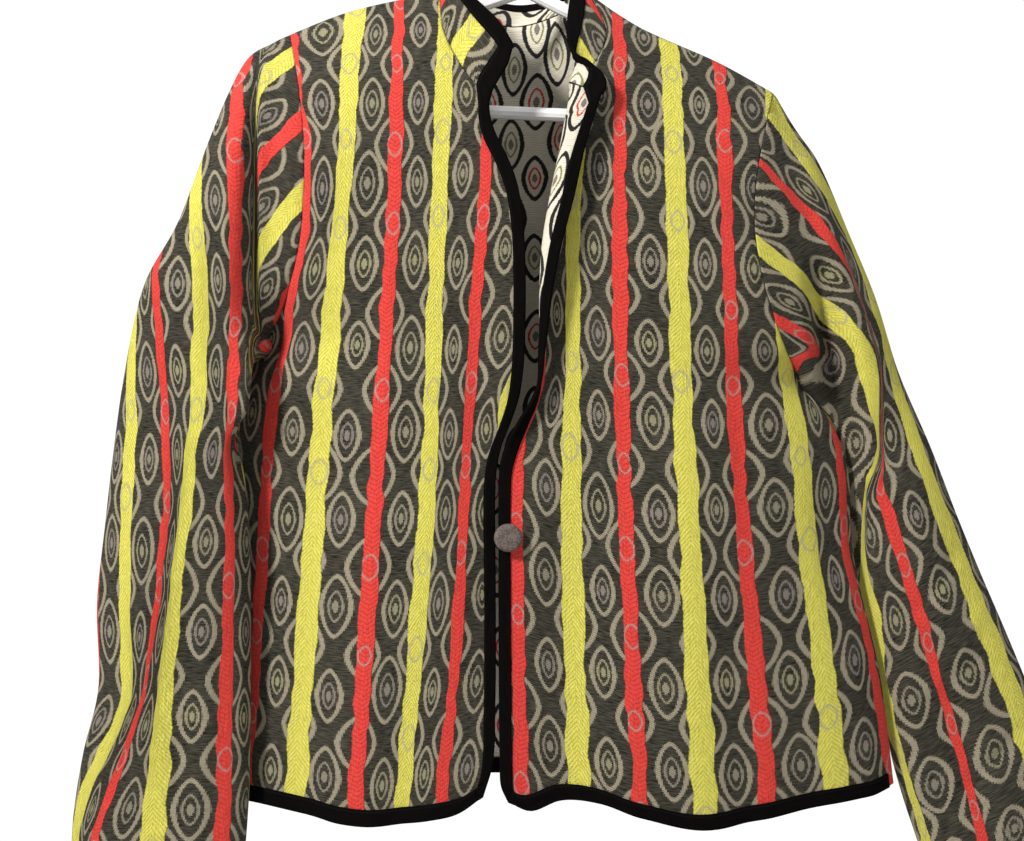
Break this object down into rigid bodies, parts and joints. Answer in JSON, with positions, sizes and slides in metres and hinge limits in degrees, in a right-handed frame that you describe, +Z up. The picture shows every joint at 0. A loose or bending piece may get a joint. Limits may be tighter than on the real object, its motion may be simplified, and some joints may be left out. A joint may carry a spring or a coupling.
{
  "type": "reversible jacket on a tubular hanger",
  "caption": "Reversible jacket of striped double-weave cloth with a stand collar, bound edges and a button, hanging open at the neck on a tubular hanger.",
  "frame": {"origin": "inside top of the hanger's hook, where a rail or hook holds it", "axes": "+Z up, along the hook's shaft; -Y towards the front of the jacket; +X towards the wearer's left"},
  "size_m": [0.756, 0.1287, 0.7595],
  "materials": {
    "cloth": "matt double weave",
    "binding": "matt bias tape",
    "button": "mottled",
    "hanger": "smooth"
  },
  "bodies": {
    "root": {"front_right": "cloth", "front_left": "cloth", "back": "cloth", "collar": "cloth", "sleeve_right": "cloth", "sleeve_left": "cloth", "binding_front_right": "binding", "binding_front_left": "binding", "binding_back": "binding", "binding_collar": "binding", "binding_cuff_right": "binding", "binding_cuff_left": "binding", "button": "button", "button_shank": "binding", "button_loop": "binding", "hanger": "hanger"}
  },
  "joints": []
}
